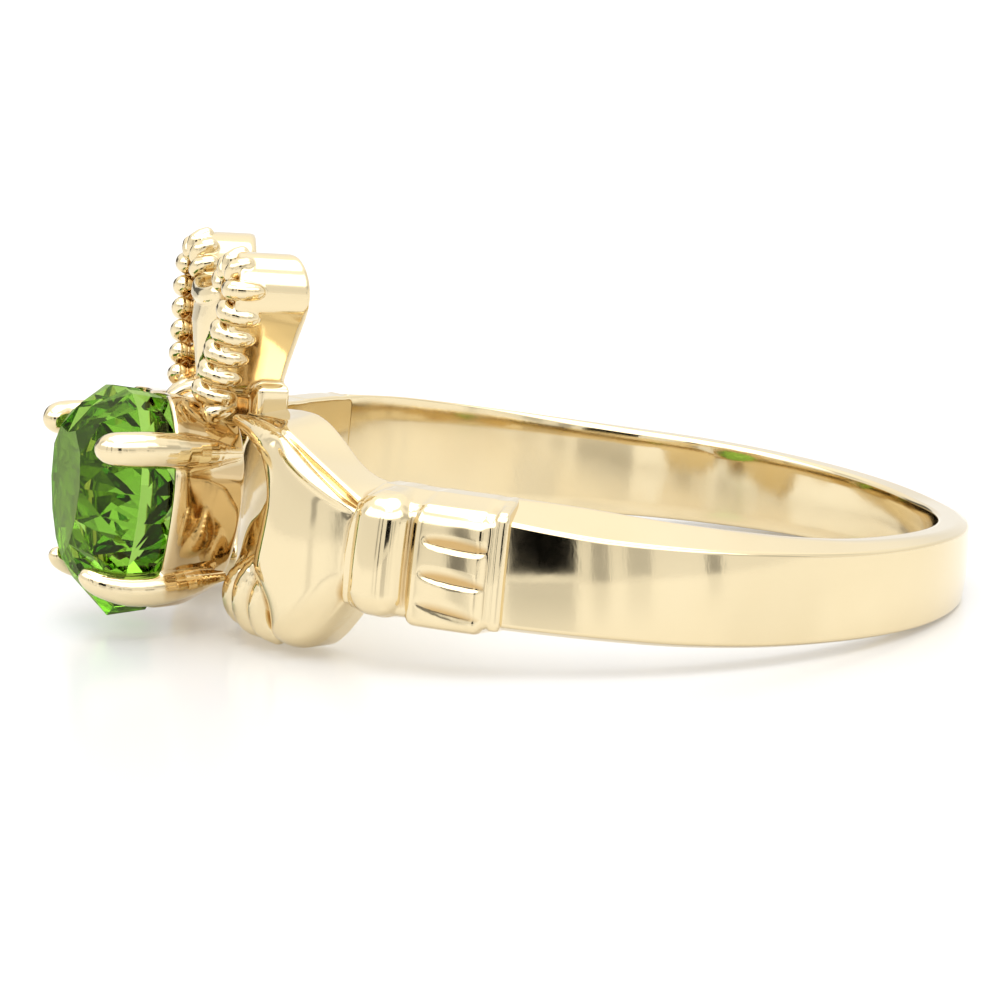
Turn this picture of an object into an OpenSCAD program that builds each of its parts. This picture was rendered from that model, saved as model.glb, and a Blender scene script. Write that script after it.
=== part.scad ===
// Claddagh ring: two hands hold a crowned heart-cut stone in a four-prong basket.
// The ring lies on its side, as it does on a table: it rests on the undersides of
// both hands and on the lower edge of the band's back, which lifts the head a little.

/* [Band] */
// Inside diameter of the band
finger_d = 17.3; // [16.9:0.1:17.7]
// Radius of the band's outer face
band_r = 9.95; // [9.85:0.05:10.05]
// How far the outer face is shifted towards the head, which thins the back
band_shift = 0.55; // [0.5:0.05:0.6]
// Half the band's width at the back
back_half_w = 0.9; // [0.85:0.05:1]
// Half the band's width at the finger hole's middle, seen from the side
side_half_w = 1.47; // [1.4:0.01:1.5]
// Slope of the bevelled shoulders
shoulder_slope = 0.38; // [0.34:0.01:0.42]

/* [Cuffs] */
// Outer radius of the fluted cuff
flute_r = 10.45; // [10.4:0.05:10.5]
// Outer radius of the rounded cuff
bulge_r = 10.75; // [10.65:0.05:10.85]
// Half width of the cuffs
cuff_half_w = 1.5; // [1.4:0.05:1.6]

/* [Heart] */
// Radius of the stone's two lobes
lobe_r = 1.98; // [1.94:0.01:2]
// Half the distance between the lobes' centres
lobe_x = 0.95; // [0.92:0.01:0.98]
// Height of the lobes' centres above the middle of the band
lobe_z = 0.98; // [0.94:0.01:1]
// Depth of the heart's tip below the middle of the band
tip_z = 2.7; // [2.6:0.01:2.72]
// Gap between the stone and the metal
stone_gap = 0.03; // [0.02:0.01:0.05]

/* [Prongs] */
// Radius of a prong
prong_r = 0.44; // [0.4:0.01:0.48]

/* [Crown] */
// Radius of the crown's two lobes
crown_lobe_r = 0.96; // [0.92:0.01:0.98]
// Radius of a bead on the crown's rim
bead_r = 0.26; // [0.22:0.01:0.28]
// Lean of the crown's front face
crown_lean = 8; // [6:1:10]

/* [Hidden] */
gold = [0.88, 0.75, 0.47];
green = [0.38, 0.68, 0.20];
bore_r = finger_d / 2;

// Depths of the head, measured outwards from the finger hole
collet_back = 0.75;
collet_front = 2.62;
girdle = 3.45;
girdle_h = 0.16;
table_out = 4.65;
culet_out = 1.25;

// Where the ring touches the table: the band's back edge, and the palms' lowest row
back_y = band_r - band_shift;
back_z = -(side_half_w - (side_half_w - back_half_w) / bore_r * back_y);
hand_low = [9.85 * cos(26) + (bore_r - 8.65) * cos(26), -2.6];
rest_tilt = atan((back_z - hand_low[1]) / (back_y + hand_low[0]));
rest_z = back_y * sin(rest_tilt) - back_z * cos(rest_tilt);
front_y = bore_r + table_out + 0.124;
rest_y = (front_y * cos(rest_tilt) + 1.7 * sin(rest_tilt) - back_y * cos(rest_tilt) + back_z * sin(rest_tilt)) / 2;

// Places the ring, whose finger hole runs along Z, on the table
module at_rest() translate([0, rest_y, rest_z]) rotate([-rest_tilt, 0, 0]) children();
// Head frame: X across, Y up along the finger, Z outwards from the finger
module on_head() translate([0, -bore_r, 0]) rotate([90, 0, 0]) children();
module both() { children(); mirror([1, 0, 0]) children(); }

// ---------- small solids worked out from short tables ----------

function flat(l) = [for (a = l) for (b = a) b];
function fan(i, n) = [for (j = [0 : n - 1]) i * n + j];
// Skin over rings of points, all with the same count and counter-clockwise about
// the way the rows run, closed by flat ends
module skin(rings) {
    n = len(rings[0]);
    m = len(rings);
    polyhedron(flat(rings), concat(
        [fan(0, n)],
        [[for (j = [n - 1 : -1 : 0]) (m - 1) * n + j]],
        flat([for (i = [0 : m - 2]) flat([for (j = [0 : n - 1]) let (k = (j + 1) % n) [
            [i * n + j, (i + 1) * n + k, i * n + k],
            [i * n + j, (i + 1) * n + j, (i + 1) * n + k]]])])));
}
function unit(v) = v / norm(v);
// Round bar through rows of [x, y, z, radius]
module bar(rows, sides = 10) {
    m = len(rows);
    p = [for (r = rows) [r[0], r[1], r[2]]];
    skin([for (i = [0 : m - 1]) let (
        d = unit(p[min(i + 1, m - 1)] - p[max(i - 1, 0)]),
        a = unit(cross(abs(d[0]) > 0.9 ? [0, 1, 0] : [1, 0, 0], d)),
        b = cross(d, a))
        [for (j = [0 : sides - 1]) let (t = 360 * j / sides)
            p[i] + rows[i][3] * (a * cos(t) + b * sin(t))]]);
}
// Ring segment between two angles from the band's back, near side
module arc_seg(a0, a1) rotate([0, 0, 90 - a1]) rotate_extrude(angle = a1 - a0, $fn = 180) children();
function polar(r, a, z) = [r * sin(a), r * cos(a), z];

// ---------- heart outline ----------

side_a = -12;
side_u = [cos(side_a), sin(side_a)];
// Right half of a heart from the tip up to the cleft, grown outwards by g
function heart_half(g, n1 = 7, n2 = 9) = let (
    r = lobe_r + g,
    d = [-lobe_x, -tip_z - g * 1.3 - lobe_z],
    q = (d * d - r * r) / (2 * (r - d * side_u)),
    c = [lobe_x, lobe_z] - q * side_u,
    t0 = atan2(-tip_z - g * 1.3 - c[1], -c[0]),
    cleft = acos(-lobe_x / r))
    concat(
        [for (i = [0 : n1 - 1]) let (t = t0 + (side_a - t0) * i / n1) c + (q + r) * [cos(t), sin(t)]],
        [for (i = [0 : n2]) let (t = side_a + (cleft - side_a) * i / n2) [lobe_x, lobe_z] + r * [cos(t), sin(t)]]);
function heart(g) = let (h = heart_half(g), n = len(h))
    concat(h, [for (i = [n - 2 : -1 : 1]) [-h[i][0], h[i][1]]]);
// A heart ring scaled about a centre and set at a height
function heart_ring(g, s, z, cy = 0.55) = [for (p = heart(g)) [p[0] * s, cy + (p[1] - cy) * s, z]];

// ---------- metal ----------

module shank() {
    slope = (side_half_w - back_half_w) / bore_r;
    difference() {
        intersection() {
            translate([0, -band_shift, -4]) cylinder(r = band_r, h = 8, $fn = 180);
            rotate([90, 0, 90]) linear_extrude(height = 30, center = true) polygon([
                [-12, -side_half_w - 12 * slope], [12, -side_half_w + 12 * slope],
                [12, side_half_w - 12 * slope], [-12, side_half_w + 12 * slope]]);
            translate([0, -band_shift, 0]) rotate([0.9, 0, 0]) translate([0, 0, -4])
                cylinder(r1 = band_r + 5.1 / shoulder_slope, r2 = band_r - 2.9 / shoulder_slope, h = 8, $fn = 180);
            translate([0, -band_shift, 0]) rotate([-0.9, 0, 0]) translate([0, 0, -4])
                cylinder(r1 = band_r - 2.9 / shoulder_slope, r2 = band_r + 5.1 / shoulder_slope, h = 8, $fn = 180);
        }
        // the cuffs carry the band on from here
        translate([0, 0, -5]) linear_extrude(height = 10) polygon([
            [0, 0], [20 * sin(121), 20 * cos(121)], [0, -30], [-20 * sin(121), 20 * cos(121)]]);
    }
}

// Cuff bands: start angle, end angle, outer radius, half width, corner
cuff_rows = [
    [118.9, 120.9, flute_r + 0.10, cuff_half_w + 0.02, 0.42],
    [120.3, 130.6, flute_r, cuff_half_w - 0.04, 0.45],
    [130.1, 132.3, flute_r - 0.30, cuff_half_w - 0.22, 0.40],
    [131.8, 138.6, bulge_r, cuff_half_w + 0.06, 0.60],
    [132.2, 138.2, bulge_r + 0.06, cuff_half_w - 0.14, 0.30]];
module cuffs() both() difference() {
    for (c = cuff_rows) arc_seg(c[0], c[1]) polygon([
        [bore_r - 0.4, -c[3] - 0.06], [c[2] - c[4] * 1.4, -c[3]], [c[2] - c[4] * 0.5, -c[3] + c[4] * 0.4],
        [c[2], -c[3] + c[4]], [c[2], c[3] - c[4]], [c[2] - c[4] * 0.5, c[3] - c[4] * 0.4],
        [c[2] - c[4] * 1.4, c[3]], [bore_r - 0.4, c[3] + 0.06]]);
    // three sunk flutes on the face of the fluted cuff
    for (z = [-0.82, 0, 0.82])
        arc_seg(121.9, 128.7) translate([flute_r + 0.13, z]) circle(r = 0.27, $fn = 24);
}

// Lining rows: start angle, end angle, low z, high z, thickness; the inner side of
// wrists and hands, and the two bridges that run on to the basket
lining_rows = [
    [137.5, 156.1, -0.85, 1.35, 0.75],
    [141.5, 155.9, -1.45, 2.00, 0.68],
    [145.0, 155.7, -2.00, 2.45, 0.72],
    [148.5, 155.5, -2.36, 2.78, 0.66],
    [155.0, 173.0, 2.12, 2.70, 0.80],
    [155.0, 170.5, -2.10, -1.05, 0.78]];
module linings() both() for (l = lining_rows) arc_seg(l[0], l[1])
    translate([bore_r - 0.3, l[2]]) square([l[4] + 0.3, l[3] - l[2]]);

// Hand rows: angle, inner top z, ridge z, outer radius, belly radius, outer bottom z, inner bottom z
hand_rows = [
    [138.6,  1.60,  1.35, 10.10, 10.25, -1.05, -1.30],
    [141.0,  2.05,  1.65, 10.15, 10.35, -1.25, -1.60],
    [144.0,  2.50,  2.05, 10.25, 10.50, -1.85, -2.00],
    [147.5,  2.80,  2.40, 10.35, 10.65, -2.40, -2.35],
    [151.0,  3.00,  2.70, 10.45, 10.70, -2.55, -2.40],
    [154.0,  3.00,  2.80, 10.45, 10.65, -2.60, -2.45],
    [156.6,  2.95,  2.80, 10.35, 10.45, -2.55, -2.40]];
module palm() both()
    skin([for (h = hand_rows) let (dr = bore_r - 8.65, a = h[0], mid = (h[2] + h[5]) / 2) [
        polar(h[3] + dr - 0.6, a, h[5]),
        polar(h[3] + dr - 0.12, a, h[5] + 0.45),
        polar(h[4] + dr - 0.05, a, mid - 0.5),
        polar(h[4] + dr, a, mid + 0.3),
        polar(h[3] + dr, a, h[2] - 0.36),
        polar(h[3] + dr - 0.22, a, h[2] - 0.18),
        polar(h[3] + dr - 0.18, a, h[2] - 0.02),
        polar(h[3] + dr - 0.55, a, h[2] + 0.10),
        polar(bore_r + 0.46, a, h[1]),
        polar(bore_r + 0.46, a, h[6])]]);

// Thumb rows: angle, low z, high z, outer radius; each thumb also bridges from the
// palm to the foot of the crown
thumb_rows = [
    [149.0, 2.10, 2.60, 10.10],
    [152.0, 1.98, 2.86, 10.52],
    [155.0, 1.90, 2.96, 10.74],
    [158.5, 1.96, 2.98, 10.66],
    [162.0, 2.12, 2.96, 10.44],
    [165.0, 2.24, 2.92, 10.18],
    [168.0, 2.32, 2.84, 9.92],
    [172.5, 2.38, 2.78, 9.62]];
module thumbs() both()
    skin([for (t = thumb_rows) let (a = t[0], r = t[3] + bore_r - 8.65, m = (t[1] + t[2]) / 2) [
        polar(bore_r + 0.42, a, t[1] + 0.05),
        polar(r - 0.35, a, t[1]),
        polar(r - 0.06, a, m - 0.16),
        polar(r - 0.04, a, m + 0.14),
        polar(r - 0.32, a, t[2]),
        polar(bore_r + 0.42, a, t[2] - 0.03)]]);

// Finger rows: angle, low z, high z, outer radius; the fingers curl under the heart
finger_rows = [
    [150.0, -2.30, -1.20, 10.05],
    [153.6, -2.42, -0.60, 10.22],
    [155.6, -2.60, -0.35, 10.48],
    [157.0, -2.58, -0.42, 10.44],
    [158.4, -2.42, -0.60, 10.16],
    [159.8, -2.54, -0.58, 10.38],
    [160.8, -2.52, -0.64, 10.36],
    [162.2, -2.36, -0.82, 10.06],
    [163.5, -2.44, -0.82, 10.26],
    [164.4, -2.40, -0.88, 10.24],
    [165.7, -2.22, -1.02, 9.92],
    [167.0, -2.24, -1.04, 10.04],
    [169.0, -2.05, -1.12, 9.80],
    [171.5, -1.95, -1.22, 9.60]];
module fingers() both()
    skin([for (f = finger_rows) let (a = f[0], r = f[3] + bore_r - 8.65) [
        polar(bore_r + 0.38, a, f[1] + 0.1),
        polar(r - 0.55, a, f[1]),
        polar(r - 0.12, a, f[1] + 0.35),
        polar(r, a, f[1] + 0.8),
        polar(r - 0.08, a, f[2] - 0.3),
        polar(r - 0.5, a, f[2]),
        polar(bore_r + 0.38, a, f[2] - 0.05)]]);

module collet() on_head() difference() {
    skin([heart_ring(0.02, 0.74, collet_back), heart_ring(0.02, 0.9, 1.7), heart_ring(0.02, 1, collet_front)]);
    skin([heart_ring(0, 0.56, collet_back - 0.1), heart_ring(0, 0.72, 1.7), heart_ring(0, 0.86, collet_front + 0.1)]);
}

// Prong rows: x, height, outward distance, radius as a share of prong_r
prong_rows = [
    [[2.20, 1.70, 0.95, 0.85], [2.60, 1.75, 1.70, 0.97], [2.93, 1.77, 2.60, 1], [3.15, 1.77, 3.50, 1],
     [3.17, 1.76, 4.10, 1], [3.06, 1.75, 4.42, 0.92], [2.94, 1.74, 4.62, 0.66], [2.88, 1.73, 4.70, 0.3]],
    [[1.53, -1.47, 1.30, 0.80], [1.71, -1.55, 1.85, 0.97], [1.86, -1.68, 2.60, 1], [1.93, -1.73, 3.50, 1],
     [1.90, -1.70, 4.10, 1], [1.80, -1.62, 4.42, 0.92], [1.72, -1.55, 4.62, 0.66], [1.68, -1.51, 4.70, 0.3]]];
module prongs() both() on_head() for (rows = prong_rows)
    bar([for (r = rows) [r[0], r[1], r[2], r[3] * prong_r]]);

// Bead places on one side of the crown: x, height
bead_rows = [[1.32, 3.25], [1.48, 3.60], [1.64, 3.96], [1.81, 4.33], [1.98, 4.70], [2.14, 5.07],
    [2.30, 5.43], [2.34, 5.86], [2.06, 6.20], [1.64, 6.22], [1.28, 5.96]];
function crown_front(z) = 1.75 - (z - 3.2) * tan(crown_lean);
// The crown's back follows the finger, a hair clear of it
module crown_back() cylinder(r1 = bore_r + 0.03, r2 = bore_r + 0.12, h = 5, $fn = 180);
module crown() difference() {
    on_head() {
        difference() {
            translate([0, 0, -0.35]) linear_extrude(height = 2.6) union() {
                for (s = [-1, 1]) translate([s * 1.74, 5.6]) circle(r = crown_lobe_r, $fn = 48);
                polygon([
                    [-1.7, 3.1], [1.7, 3.1], [1.86, 3.6], [2.04, 4.2], [2.26, 4.8], [2.52, 5.3],
                    [1.1, 5.9], [0, 5.4], [-1.1, 5.9],
                    [-2.52, 5.3], [-2.26, 4.8], [-2.04, 4.2], [-1.86, 3.6]]);
            }
            translate([-4, 3.2, 1.75]) rotate([crown_lean, 0, 0]) translate([0, -2, 0]) cube([8, 6, 3]);
        }
        // base block that stands on the hands and the basket
        translate([-1.92, 2.3, -0.4]) cube([3.84, 1, 1.75]);
        for (s = [-1, 1]) for (b = bead_rows)
            translate([s * b[0], b[1], crown_front(b[1]) - 0.03]) sphere(r = bead_r, $fn = 24);
        // smooth leaf in the middle of the front
        translate([0, 0, crown_front(3.2) - 0.76]) rotate([crown_lean, 0, 0]) rotate([-90, 0, 0])
            translate([0, 0, 3.15]) rotate_extrude($fn = 48) polygon([
                [0, 0], [0.34, 0.45], [0.66, 1.1], [0.91, 1.75], [1.00, 2.1], [0.88, 2.4], [0.50, 2.6], [0, 2.66]]);
    }
    translate([0, 0, 2]) crown_back();
}

// ---------- stone ----------

// Facet rings: growth, share of the outline, outward distance
module stone_solid(g = 0) on_head() skin([
    heart_ring(g, 0.10, culet_out - g), heart_ring(g, 0.62, 2.42 - g), heart_ring(g, 0.985, girdle - girdle_h),
    heart_ring(g, 0.985, girdle + g), heart_ring(g, 0.80, 4.15 + g), heart_ring(g, 0.56, table_out + g)]);

// The gold: one casting with the prongs soldered in
module ring_body() color(gold) at_rest() {
    difference() {
        union() {
            shank();
            cuffs();
            linings();
        }
        translate([0, 0, -12]) cylinder(r = bore_r, h = 24, $fn = 180);
    }
    crown();
    palm();
    thumbs();
    fingers();
    difference() {
        union() {
            collet();
            prongs();
        }
        stone_solid(stone_gap);
    }
}

module stone() color(green) at_rest() stone_solid();

ring_body();
stone();
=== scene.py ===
# Claddagh ring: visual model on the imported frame.
# Ring frame, in mm: the finger hole runs along Z, the head is on -Y, the side
# towards the viewer is +X. Angles run from the band's back (+Y) towards +X.
import math
import bpy
import numpy as np
from mathutils import Matrix


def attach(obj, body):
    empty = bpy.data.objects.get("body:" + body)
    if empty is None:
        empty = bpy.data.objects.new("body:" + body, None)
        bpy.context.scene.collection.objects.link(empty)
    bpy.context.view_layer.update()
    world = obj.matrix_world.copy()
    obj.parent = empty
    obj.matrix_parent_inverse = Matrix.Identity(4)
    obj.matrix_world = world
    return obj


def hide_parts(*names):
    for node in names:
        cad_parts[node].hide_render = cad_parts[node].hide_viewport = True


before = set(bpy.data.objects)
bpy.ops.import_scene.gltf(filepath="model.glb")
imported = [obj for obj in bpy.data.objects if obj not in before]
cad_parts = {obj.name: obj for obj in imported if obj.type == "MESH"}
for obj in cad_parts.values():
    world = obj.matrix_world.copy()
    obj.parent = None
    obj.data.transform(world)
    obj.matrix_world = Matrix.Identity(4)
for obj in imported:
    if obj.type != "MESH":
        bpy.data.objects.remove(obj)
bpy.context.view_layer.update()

RAD = math.pi / 180.0

# ------------------------------------------------------------------ named sizes

BORE = 8.65
BAND_R = 9.95
BAND_SHIFT = 0.55
SIDE_W = 1.47
BACK_W = 0.9
SHOULDER = 0.38
LOBE_R = 1.98
LOBE_X = 0.95
LOBE_Z = 0.98
TIP_Z = 2.7
TABLE_OUT = 4.65

# rest pose: the band's back edge and the palms' lowest rows stand on the table
back_y = BAND_R - BAND_SHIFT
back_z = -(SIDE_W - (SIDE_W - BACK_W) / BORE * back_y)
hand_low = (9.85 * math.cos(26 * RAD), -2.6)
TILT = math.atan((back_z - hand_low[1]) / (back_y + hand_low[0]))
REST_Z = back_y * math.sin(TILT) - back_z * math.cos(TILT)
front_y = BORE + TABLE_OUT + 0.124
REST_Y = (front_y * math.cos(TILT) + 1.7 * math.sin(TILT) - back_y * math.cos(TILT) + back_z * math.sin(TILT)) / 2
CT, ST = math.cos(TILT), math.sin(TILT)


def at_rest(v, point=True):
    """Ring frame (mm) to row frame (m), or a direction."""
    v = np.asarray(v, float)
    out = np.empty_like(v)
    out[..., 0] = v[..., 0]
    out[..., 1] = v[..., 1] * CT + v[..., 2] * ST
    out[..., 2] = -v[..., 1] * ST + v[..., 2] * CT
    if point:
        out[..., 1] += REST_Y
        out[..., 2] += REST_Z
        out *= 0.001
    return out


# ------------------------------------------------------------------ camera

def make_camera():
    az, el, roll, dist, f = 72.4 * RAD, 9.12 * RAD, 4.85 * RAD, 124.01, 5000.0
    back = np.array([math.sin(az) * math.cos(el), -math.cos(az) * math.cos(el), math.sin(el)])
    right = np.cross(-back, [0, 0, 1.0])
    right /= np.linalg.norm(right)
    up = np.cross(right, -back)
    r = right * math.cos(roll) + up * math.sin(roll)
    u = -right * math.sin(roll) + up * math.cos(roll)
    c = np.array([0, -2.29, 0.48]) + back * dist
    r, u, b = (at_rest(x, False) for x in (r, u, back))
    c = at_rest(c)
    m = Matrix(((r[0], u[0], b[0], c[0]), (r[1], u[1], b[1], c[1]), (r[2], u[2], b[2], c[2]), (0, 0, 0, 1)))
    cam = bpy.data.cameras.new("camera")
    cam.sensor_fit = "HORIZONTAL"
    cam.sensor_width = 36.0
    cam.lens = 36.0 * f / 1000.0
    cam.clip_start = 0.001
    cam.clip_end = 10.0
    ob = bpy.data.objects.new("camera", cam)
    ob.matrix_world = m
    bpy.context.scene.collection.objects.link(ob)
    bpy.context.scene.camera = ob
    return ob


make_camera()

# ------------------------------------------------------------------ numeric helpers


def smin(a, b, k):
    h = np.maximum(k - np.abs(a - b), 0.0) / k
    return np.minimum(a, b) - h * h * (k * 0.25)


def smax(a, b, k):
    h = np.maximum(k - np.abs(a - b), 0.0) / k
    return np.maximum(a, b) + h * h * (k * 0.25)


def curve(rows, blur=0.0):
    """Smooth function through rows of (position, value)."""
    xs = np.array([r[0] for r in rows], float)
    ys = np.array([r[1] for r in rows], float)
    if blur <= 0:
        return lambda q: np.interp(q, xs, ys)
    g = np.linspace(xs[0] - 4 * blur, xs[-1] + 4 * blur, 4000)
    y = np.interp(g, xs, ys)
    s0 = (ys[1] - ys[0]) / (xs[1] - xs[0])
    s1 = (ys[-1] - ys[-2]) / (xs[-1] - xs[-2])
    y = np.where(g < xs[0], ys[0] + s0 * (g - xs[0]), y)
    y = np.where(g > xs[-1], ys[-1] + s1 * (g - xs[-1]), y)
    step = g[1] - g[0]
    n = max(int(3 * blur / step), 1)
    w = np.exp(-0.5 * (np.arange(-n, n + 1) * step / blur) ** 2)
    w /= w.sum()
    pad = np.concatenate([y[0] + (y[1] - y[0]) * np.arange(-n, 0), y, y[-1] + (y[-1] - y[-2]) * np.arange(1, n + 1)])
    y = np.convolve(pad, w, "valid")
    return lambda q: np.interp(q, g, y)


def spline(points, n=8, closed=False):
    """Catmull-Rom points through the given rows."""
    p = np.asarray(points, float)
    m = len(p)
    out = []
    last = m if closed else m - 1
    for i in range(last):
        if closed:
            a, b, c, d = p[(i - 1) % m], p[i], p[(i + 1) % m], p[(i + 2) % m]
        else:
            b, c = p[i], p[i + 1]
            a = p[i - 1] if i > 0 else 2 * b - c
            d = p[i + 2] if i + 2 < m else 2 * c - b
        for t in np.arange(n) / n:
            out.append(0.5 * ((2 * b) + (c - a) * t + (2 * a - 5 * b + 4 * c - d) * t * t + (3 * b - a - 3 * c + d) * t ** 3))
    if not closed:
        out.append(p[-1])
    return np.array(out)


def outline(px, pz, poly):
    """Signed distance in a plane to a closed outline, negative inside."""
    px, pz = np.broadcast_arrays(px, pz)
    shape = px.shape
    x = px.ravel().astype(float)
    z = pz.ravel().astype(float)
    d2 = np.full(x.shape, 1e9)
    inside = np.zeros(x.shape, bool)
    m = len(poly)
    for i in range(m):
        ax, az = poly[i]
        bx, bz = poly[(i + 1) % m]
        ex, ez = bx - ax, bz - az
        l2 = ex * ex + ez * ez
        if l2 < 1e-12:
            continue
        t = np.clip(((x - ax) * ex + (z - az) * ez) / l2, 0, 1)
        d2 = np.minimum(d2, (x - ax - ex * t) ** 2 + (z - az - ez * t) ** 2)
        if bz != az:
            c = ((az <= z) & (bz > z)) | ((bz <= z) & (az > z))
            inside ^= c & (x < ax + (z - az) / (bz - az) * ex)
    d = np.sqrt(d2)
    return np.where(inside, -d, d).reshape(shape)


class Map2D:
    """An outline's signed distance kept on a fine grid and read back anywhere."""

    def __init__(self, poly, lo, hi, h):
        self.lo, self.h = lo, h
        nx = int(math.ceil((hi[0] - lo[0]) / h)) + 1
        nz = int(math.ceil((hi[1] - lo[1]) / h)) + 1
        x = lo[0] + h * np.arange(nx)
        z = lo[1] + h * np.arange(nz)
        self.m = outline(x[:, None], z[None, :], poly).astype(np.float32)

    def __call__(self, x, z):
        x, z = np.broadcast_arrays(x, z)
        fx = np.clip((x - self.lo[0]) / self.h, 0, self.m.shape[0] - 1.001)
        fz = np.clip((z - self.lo[1]) / self.h, 0, self.m.shape[1] - 1.001)
        i = fx.astype(np.int32)
        j = fz.astype(np.int32)
        u = fx - i
        v = fz - j
        m = self.m
        return (m[i, j] * (1 - u) + m[i + 1, j] * u) * (1 - v) + (m[i, j + 1] * (1 - u) + m[i + 1, j + 1] * u) * v


def box_blur(a, r):
    for ax in range(3):
        c = np.cumsum(np.concatenate([np.repeat(np.take(a, [0], ax), r + 1, ax), a, np.repeat(np.take(a, [-1], ax), r, ax)], ax), ax, dtype=np.float64)
        n = a.shape[ax]
        a = ((np.take(c, np.arange(2 * r + 1, 2 * r + 1 + n), ax) - np.take(c, np.arange(0, n), ax)) / (2 * r + 1)).astype(np.float32)
    return a


def sample(F, v):
    """Trilinear reading of a grid at index positions v (n, 3)."""
    n = np.array(F.shape)
    q = np.clip(v, 0, n - 1.001)
    i = q.astype(np.int64)
    f = q - i
    flat = F.ravel()
    sx, sy = n[1] * n[2], n[2]
    b = i[:, 0] * sx + i[:, 1] * sy + i[:, 2]
    out = 0.0
    for dx in (0, 1):
        wx = f[:, 0] if dx else 1 - f[:, 0]
        for dy in (0, 1):
            wy = f[:, 1] if dy else 1 - f[:, 1]
            for dz in (0, 1):
                wz = f[:, 2] if dz else 1 - f[:, 2]
                out = out + flat[b + dx * sx + dy * sy + dz] * (wx * wy * wz)
    return out


class Field:
    """A solid held as a distance-like field on a grid, negative inside."""

    def __init__(self, lo, hi, h):
        self.lo = np.array(lo, float)
        self.h = h
        self.n = np.ceil((np.array(hi, float) - self.lo) / h).astype(int) + 1
        self.ax = [(self.lo[i] + h * np.arange(self.n[i])).astype(np.float32) for i in range(3)]
        self.F = np.full(self.n, 5.0, np.float32)

    def part(self, lo=None, hi=None):
        sl = []
        for i in range(3):
            a = 0 if lo is None else max(0, int(math.floor((lo[i] - self.lo[i]) / self.h)))
            b = self.n[i] if hi is None else min(self.n[i], int(math.ceil((hi[i] - self.lo[i]) / self.h)) + 1)
            sl.append(slice(a, max(a, b)))
        sl = tuple(sl)
        return sl, self.ax[0][sl[0]][:, None, None], self.ax[1][sl[1]][None, :, None], self.ax[2][sl[2]][None, None, :]

    def add(self, fn, lo=None, hi=None, k=0.02):
        sl, x, y, z = self.part(lo, hi)
        if self.F[sl].size:
            self.F[sl] = smin(self.F[sl], fn(x, y, z).astype(np.float32), k)

    def cut(self, fn, lo=None, hi=None, k=0.02):
        sl, x, y, z = self.part(lo, hi)
        if self.F[sl].size:
            self.F[sl] = smax(self.F[sl], -fn(x, y, z).astype(np.float32), k)

    def tube(self, rows, k=0.03, n=4, squash=None):
        """Round bar through rows of (a, b, c, radius)."""
        p = spline(rows, n)
        q = p[:, :3]
        rad = p[:, 3]
        lo = (q - rad[:, None]).min(0) - k - 0.1
        hi = (q + rad[:, None]).max(0) + k + 0.1
        sl, x, y, z = self.part(lo, hi)
        if not self.F[sl].size:
            return
        best = None
        for i in range(len(p) - 1):
            a, b = q[i], q[i + 1]
            e = b - a
            l2 = float(e @ e)
            if l2 < 1e-9:
                continue
            t = np.clip(((x - a[0]) * e[0] + (y - a[1]) * e[1] + (z - a[2]) * e[2]) / l2, 0, 1)
            d = np.sqrt((x - a[0] - e[0] * t) ** 2 + (y - a[1] - e[1] * t) ** 2 + (z - a[2] - e[2] * t) ** 2) - (rad[i] + (rad[i + 1] - rad[i]) * t)
            best = d if best is None else np.minimum(best, d)
        self.F[sl] = smin(self.F[sl], best.astype(np.float32), k)

    def mesh(self):
        """Closed quad mesh of the zero surface: vertices, quads, normals and a painted-shade value that is larger in
        hollows.
        """
        F = self.F
        for i in range(3):
            s0 = [slice(None)] * 3
            s1 = [slice(None)] * 3
            s0[i], s1[i] = 0, -1
            F[tuple(s0)] = np.maximum(F[tuple(s0)], self.h)
            F[tuple(s1)] = np.maximum(F[tuple(s1)], self.h)
        ins = F < 0
        c = [s - 1 for s in F.shape]
        count = np.zeros(c, np.int8)
        for dx in (0, 1):
            for dy in (0, 1):
                for dz in (0, 1):
                    count += ins[dx:dx + c[0], dy:dy + c[1], dz:dz + c[2]]
        act = (count > 0) & (count < 8)
        idx = np.full(c, -1, np.int64)
        n = int(act.sum())
        idx[act] = np.arange(n)
        ijk = np.argwhere(act)
        acc = np.zeros((n, 3))
        cnt = np.zeros(n)
        corner = {}
        for dx in (0, 1):
            for dy in (0, 1):
                for dz in (0, 1):
                    corner[dx, dy, dz] = F[ijk[:, 0] + dx, ijk[:, 1] + dy, ijk[:, 2] + dz].astype(float)
        for a in corner:
            for ax in range(3):
                if a[ax] == 0:
                    b = list(a)
                    b[ax] = 1
                    fa, fb = corner[a], corner[tuple(b)]
                    m = (fa < 0) != (fb < 0)
                    t = fa[m] / (fa[m] - fb[m])
                    pos = np.repeat(np.array([a], float), m.sum(), 0)
                    pos[:, ax] += t
                    acc[m] += pos
                    cnt[m] += 1
        v = ijk + acc / cnt[:, None]
        quads = []
        for ax in range(3):
            s0 = [slice(None)] * 3
            s1 = [slice(None)] * 3
            s0[ax], s1[ax] = slice(0, -1), slice(1, None)
            a, b = ins[tuple(s0)], ins[tuple(s1)]
            e = np.argwhere(a != b)
            o1, o2 = (ax + 1) % 3, (ax + 2) % 3
            e = e[(e[:, o1] > 0) & (e[:, o1] < F.shape[o1] - 1) & (e[:, o2] > 0) & (e[:, o2] < F.shape[o2] - 1)]
            out = a[e[:, 0], e[:, 1], e[:, 2]]
            q = []
            for d1, d2 in ((-1, -1), (0, -1), (0, 0), (-1, 0)):
                c2 = e.copy()
                c2[:, o1] += d1
                c2[:, o2] += d2
                q.append(idx[c2[:, 0], c2[:, 1], c2[:, 2]])
            q = np.stack(q, 1)
            quads.append(np.where(out[:, None], q, q[:, ::-1]))
        quads = np.concatenate(quads)
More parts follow.
